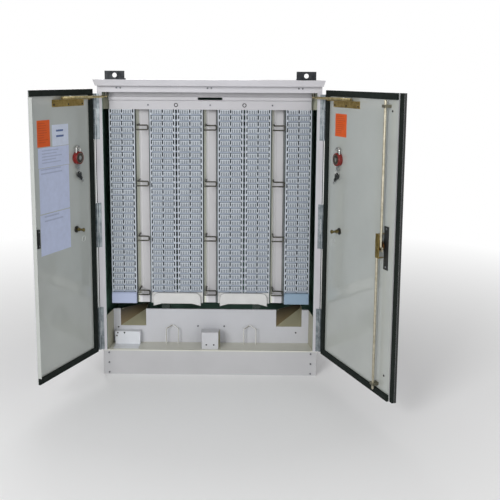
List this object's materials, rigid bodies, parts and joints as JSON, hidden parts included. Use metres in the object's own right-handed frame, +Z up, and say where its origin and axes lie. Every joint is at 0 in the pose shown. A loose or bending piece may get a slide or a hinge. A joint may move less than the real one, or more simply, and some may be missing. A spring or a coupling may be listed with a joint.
{
  "type": "roadside cross-connect cabinet",
  "caption": "Pad-mounted roadside cabinet with two unequal swing doors, stays, a three-point latch and columns of wire connector modules over a lower cable compartment.",
  "frame": {"origin": "centre of the anchor bolt pattern on the underside of the plinth", "axes": "+Z up, +X to the right seen from the front, the doors face -Y"},
  "size_m": [1.5081, 0.983, 1.454],
  "materials": {
    "cabinet_paint": "semi-gloss baked paint",
    "inside_paint": "semi-gloss baked paint",
    "door_liner_paint": "semi-gloss baked paint",
    "channel_paint": "satin paint",
    "module_plastic": "satin moulded plastic",
    "cap_plastic": "satin moulded plastic",
    "guide_plastic": "satin moulded plastic",
    "gasket_rubber": "matt foam rubber",
    "hinge_zinc": "zinc plated",
    "screw_zinc": "zinc plated",
    "lug_steel": "dark plated",
    "wire_steel": "dark plated wire",
    "stay_zinc": "yellow zinc plated",
    "stud_zinc": "yellow zinc plated",
    "latch_steel": "yellow zinc plated",
    "black_plate": "black satin",
    "padlock_enamel": "red enamel",
    "shackle_steel": "plated",
    "key_metal": "bright metal"
  },
  "bodies": {
    "cabinet": {"plinth": "cabinet_paint", "left_side_panel": "cabinet_paint", "right_side_panel": "cabinet_paint", "back_panel": "cabinet_paint", "top_rail": "cabinet_paint", "roof_cap": "cabinet_paint", "floor_pan": "inside_paint", "header_panel": "inside_paint", "header_brackets": "inside_paint", "block_frame": "inside_paint", "wire_troughs": "inside_paint", "lower_panel": "inside_paint", "cable_chutes": "inside_paint", "terminal_box": "inside_paint", "junction_box": "inside_paint", "wire_hooks": "inside_paint", "connector_channels": "channel_paint", "connector_modules_1": "module_plastic", "connector_modules_2": "module_plastic", "connector_modules_3": "module_plastic", "connector_modules_4": "module_plastic", "connector_modules_5": "module_plastic", "connector_modules_6": "module_plastic", "column_caps": "cap_plastic", "bend_guides": "guide_plastic", "left_frame_hinges": "hinge_zinc", "right_frame_hinges": "hinge_zinc", "hinge_pins": "hinge_zinc", "cabinet_screws": "screw_zinc", "lifting_lugs": "lug_steel", "wire_rings": "wire_steel", "stay_pivots": "stay_zinc"},
    "left_door": {"left_door_pan": "cabinet_paint", "left_door_liner": "door_liner_paint", "left_door_gasket": "gasket_rubber", "left_door_hinges": "hinge_zinc", "left_stay_bracket": "stay_zinc", "left_padlock": "padlock_enamel", "left_padlock_shackle": "shackle_steel", "left_keys": "key_metal", "left_ground_stud": "stud_zinc", "left_strike": "black_plate"},
    "right_door": {"right_door_pan": "cabinet_paint", "right_door_liner": "door_liner_paint", "right_door_gasket": "gasket_rubber", "right_door_hinges": "hinge_zinc", "right_stay_bracket": "stay_zinc", "right_padlock": "padlock_enamel", "right_padlock_shackle": "shackle_steel", "right_keys": "key_metal", "right_ground_stud": "stud_zinc", "latch_guard": "black_plate", "latch_cage": "stay_zinc", "rod_guides": "stay_zinc"},
    "left_stay": {"left_stay_arm": "stay_zinc"},
    "right_stay": {"right_stay_arm": "stay_zinc"},
    "latch": {"latch_cam": "latch_steel", "latch_handle": "latch_steel"},
    "upper_rod": {"upper_rod": "stay_zinc"},
    "lower_rod": {"lower_rod": "stay_zinc"}
  },
  "joints": [
    {"name": "left_door_swing", "type": "hinge", "parent": "cabinet", "child": "left_door", "pos_m": [-0.527, -0.205, 0.735], "axis": [0, 0, 1], "range_deg": [0, 112.6]},
    {"name": "right_door_swing", "type": "hinge", "parent": "cabinet", "child": "right_door", "pos_m": [0.527, -0.205, 0.735], "axis": [0, 0, -1], "range_deg": [0, 112.6]},
    {"name": "left_stay_swing", "type": "hinge", "parent": "cabinet", "child": "left_stay", "pos_m": [-0.478, -0.188, 1.3365], "axis": [0, 0, 1], "range_deg": [0, 117.8]},
    {"name": "right_stay_swing", "type": "hinge", "parent": "cabinet", "child": "right_stay", "pos_m": [0.478, -0.188, 1.3365], "axis": [0, 0, -1], "range_deg": [0, 117.8]},
    {"name": "latch_turn", "type": "hinge", "parent": "right_door", "child": "latch", "pos_m": [0.73145, -0.68315, 0.757], "axis": [-0.9232, -0.3843, 0], "range_deg": [0, 90]},
    {"name": "upper_rod_slide", "type": "slide", "parent": "right_door", "child": "upper_rod", "axis": [0, 0, 1], "range_m": [0, 0.0227]},
    {"name": "lower_rod_slide", "type": "slide", "parent": "right_door", "child": "lower_rod", "axis": [0, 0, -1], "range_m": [0, 0.0227]}
  ],
  "couplings": [
    {"joint": "left_stay_swing", "follows": "left_door_swing", "ratio": 1.0451},
    {"joint": "right_stay_swing", "follows": "right_door_swing", "ratio": 1.0451},
    {"joint": "upper_rod_slide", "follows": "latch_turn", "m_per_rad": 0.014405},
    {"joint": "lower_rod_slide", "follows": "latch_turn", "m_per_rad": 0.014405}
  ]
}
